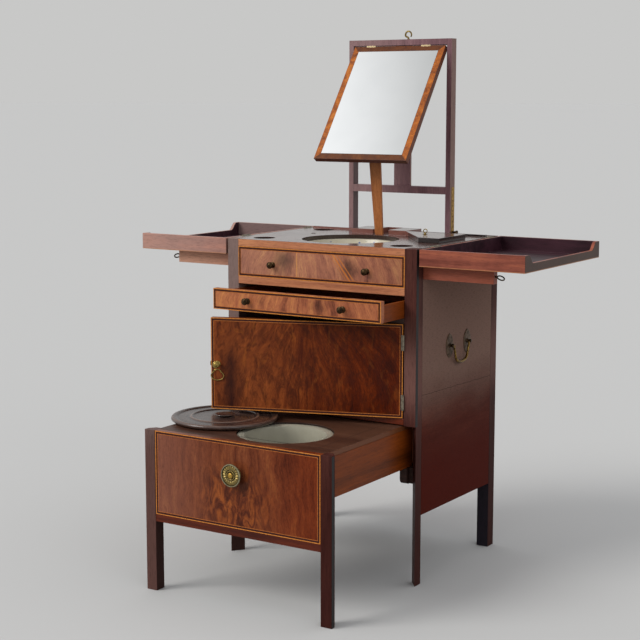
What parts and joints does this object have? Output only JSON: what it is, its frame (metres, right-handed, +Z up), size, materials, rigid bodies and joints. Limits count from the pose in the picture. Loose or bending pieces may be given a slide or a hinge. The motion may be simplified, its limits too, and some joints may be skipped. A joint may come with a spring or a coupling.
{
  "type": "washstand",
  "caption": "Enclosed mahogany washstand, opened out: tray flaps on lopers, rising looking glass, basin top, drawer, cupboard and a pull-out night stand with a pot.",
  "frame": {"origin": "centre of the footprint of the opened washstand, on the floor", "axes": "+X to the right seen from the front, +Y towards the back, +Z up; the drawer, door and night stand face -Y"},
  "size_m": [1.1292, 0.825, 1.3773],
  "materials": {
    "post_wood": "polished",
    "panel_wood": "polished",
    "figured_wood": "polished",
    "plain_wood": "plain",
    "top_wood": "polished",
    "frame_wood": "satin",
    "burr_wood": "polished",
    "lid_wood": "polished",
    "brass": "aged",
    "cream_glaze": "gloss",
    "pot_glaze": "gloss",
    "mirror": "silvered"
  },
  "bodies": {
    "case": {"front_left_leg": "post_wood", "front_right_leg": "post_wood", "rear_left_leg": "post_wood", "rear_right_leg": "post_wood", "left_side": "panel_wood", "right_side": "panel_wood", "left_runner": "plain_wood", "right_runner": "plain_wood", "left_tray_hinge_front": "brass", "left_tray_hinge_rear": "brass", "right_tray_hinge_front": "brass", "right_tray_hinge_rear": "brass", "left_handle_plate_front": "brass", "left_handle_plate_rear": "brass", "right_handle_plate_front": "brass", "right_handle_plate_rear": "brass", "back_panel": "plain_wood", "top_board": "top_wood", "frieze": "figured_wood", "frieze_knob_left": "brass", "frieze_knob_right": "brass", "drawer_shelf": "plain_wood", "cupboard_floor": "post_wood", "shaft_board": "plain_wood", "basin": "cream_glaze"},
    "left_tray_body": {"left_tray": "figured_wood"},
    "right_tray_body": {"right_tray": "figured_wood"},
    "left_loper_body": {"left_loper": "figured_wood", "left_loper_pull": "brass"},
    "right_loper_body": {"right_loper": "figured_wood", "right_loper_pull": "brass"},
    "drawer_body": {"drawer_front": "figured_wood", "drawer_box": "plain_wood", "drawer_knob_left": "brass", "drawer_knob_right": "brass"},
    "door_body": {"door": "figured_wood", "door_hinge_upper": "brass", "door_hinge_lower": "brass"},
    "door_knob_body": {"door_knob": "brass"},
    "door_bolt_body": {"door_bolt": "brass"},
    "door_ring_body": {"door_ring": "brass"},
    "night_stand_body": {"commode_front": "figured_wood", "commode_leg_left": "post_wood", "commode_leg_right": "post_wood", "commode_carcase": "plain_wood", "seat_board": "plain_wood", "commode_knob": "brass", "pot": "pot_glaze"},
    "pot_lid_body": {"pot_lid": "lid_wood"},
    "rising_frame_body": {"mirror_frame": "frame_wood", "rack": "brass", "top_loop": "brass"},
    "looking_glass_body": {"glass_frame": "burr_wood", "looking_glass": "mirror"},
    "strut_body": {"strut": "burr_wood"},
    "rack_catch_body": {"rack_catch": "brass"},
    "left_till_lid_body": {"left_till_lid": "top_wood"},
    "right_till_lid_body": {"right_till_lid": "top_wood"},
    "left_bail_body": {"left_bail": "brass"},
    "right_bail_body": {"right_bail": "brass"}
  },
  "joints": [
    {"name": "left_tray_hinge", "type": "hinge", "parent": "case", "child": "left_tray_body", "pos_m": [-0.2833, 0.1925, 0.84], "axis": [0, 1, 0], "range_deg": [0, 95]},
    {"name": "right_tray_hinge", "type": "hinge", "parent": "case", "child": "right_tray_body", "pos_m": [0.2833, 0.1925, 0.84], "axis": [0, -1, 0], "range_deg": [0, 95]},
    {"name": "left_loper_slide", "type": "slide", "parent": "case", "child": "left_loper_body", "axis": [-1, 0, 0], "range_m": [-0.186, 0]},
    {"name": "right_loper_slide", "type": "slide", "parent": "case", "child": "right_loper_body", "axis": [1, 0, 0], "range_m": [-0.186, 0]},
    {"name": "drawer_slide", "type": "slide", "parent": "case", "child": "drawer_body", "axis": [0, -1, 0], "range_m": [-0.111, 0.06]},
    {"name": "door_hinge", "type": "hinge", "parent": "case", "child": "door_body", "pos_m": [0.2467, -0.0304, 0.54], "axis": [0, 0, 1], "range_deg": [-18.5, 80]},
    {"name": "door_knob_turn", "type": "hinge", "parent": "door_body", "child": "door_knob_body", "pos_m": [-0.2051, -0.1785, 0.538], "axis": [0.3173, -0.9483, 0], "range_deg": [0, 90]},
    {"name": "door_bolt_slide", "type": "slide", "parent": "door_body", "child": "door_bolt_body", "axis": [0.9483, 0.3173, 0], "range_m": [0, 0.0045]},
    {"name": "door_ring_hinge", "type": "hinge", "parent": "door_body", "child": "door_ring_body", "pos_m": [-0.2044, -0.1807, 0.5245], "axis": [-0.9483, -0.3173, 0], "range_deg": [0, 70]},
    {"name": "night_stand_slide", "type": "slide", "parent": "case", "child": "night_stand_body", "axis": [0, -1, 0], "range_m": [-0.04, 0.02]},
    {"name": "pot_lid_lift", "type": "slide", "parent": "night_stand_body", "child": "pot_lid_body", "axis": [0, -0.9992, 0.04], "range_m": [0, 0.18]},
    {"name": "rising_frame_slide", "type": "slide", "parent": "case", "child": "rising_frame_body", "axis": [0, 0, 1], "range_m": [-0.0424, 0]},
    {"name": "looking_glass_hinge", "type": "hinge", "parent": "rising_frame_body", "child": "looking_glass_body", "pos_m": [0, 0.3725, 1.337], "axis": [1, 0, 0], "range_deg": [-26.3, 0]},
    {"name": "strut_hinge", "type": "hinge", "parent": "looking_glass_body", "child": "strut_body", "pos_m": [0, 0.2378, 1.115], "axis": [1, 0, 0], "range_deg": [0, 25]},
    {"name": "rack_catch_slide", "type": "slide", "parent": "case", "child": "rack_catch_body", "axis": [1, 0, 0], "range_m": [0, 0.006]},
    {"name": "left_till_lid_hinge", "type": "hinge", "parent": "case", "child": "left_till_lid_body", "pos_m": [-0.2507, 0.204, 0.84], "axis": [0, -1, 0], "range_deg": [0, 85]},
    {"name": "right_till_lid_hinge", "type": "hinge", "parent": "case", "child": "right_till_lid_body", "pos_m": [0.17, 0.2755, 0.8403], "axis": [-1, 0, 0], "range_deg": [0, 75]},
    {"name": "left_bail_hinge", "type": "hinge", "parent": "case", "child": "left_bail_body", "pos_m": [-0.2905, 0.1925, 0.583], "axis": [0, 1, 0], "range_deg": [0, 85]},
    {"name": "right_bail_hinge", "type": "hinge", "parent": "case", "child": "right_bail_body", "pos_m": [0.2905, 0.1925, 0.583], "axis": [0, -1, 0], "range_deg": [0, 85]}
  ],
  "couplings": [
    {"joint": "door_bolt_slide", "follows": "door_knob_turn", "m_per_rad": 0.00286},
    {"joint": "looking_glass_hinge", "follows": "rising_frame_slide", "rad_per_m": 10.8}
  ]
}
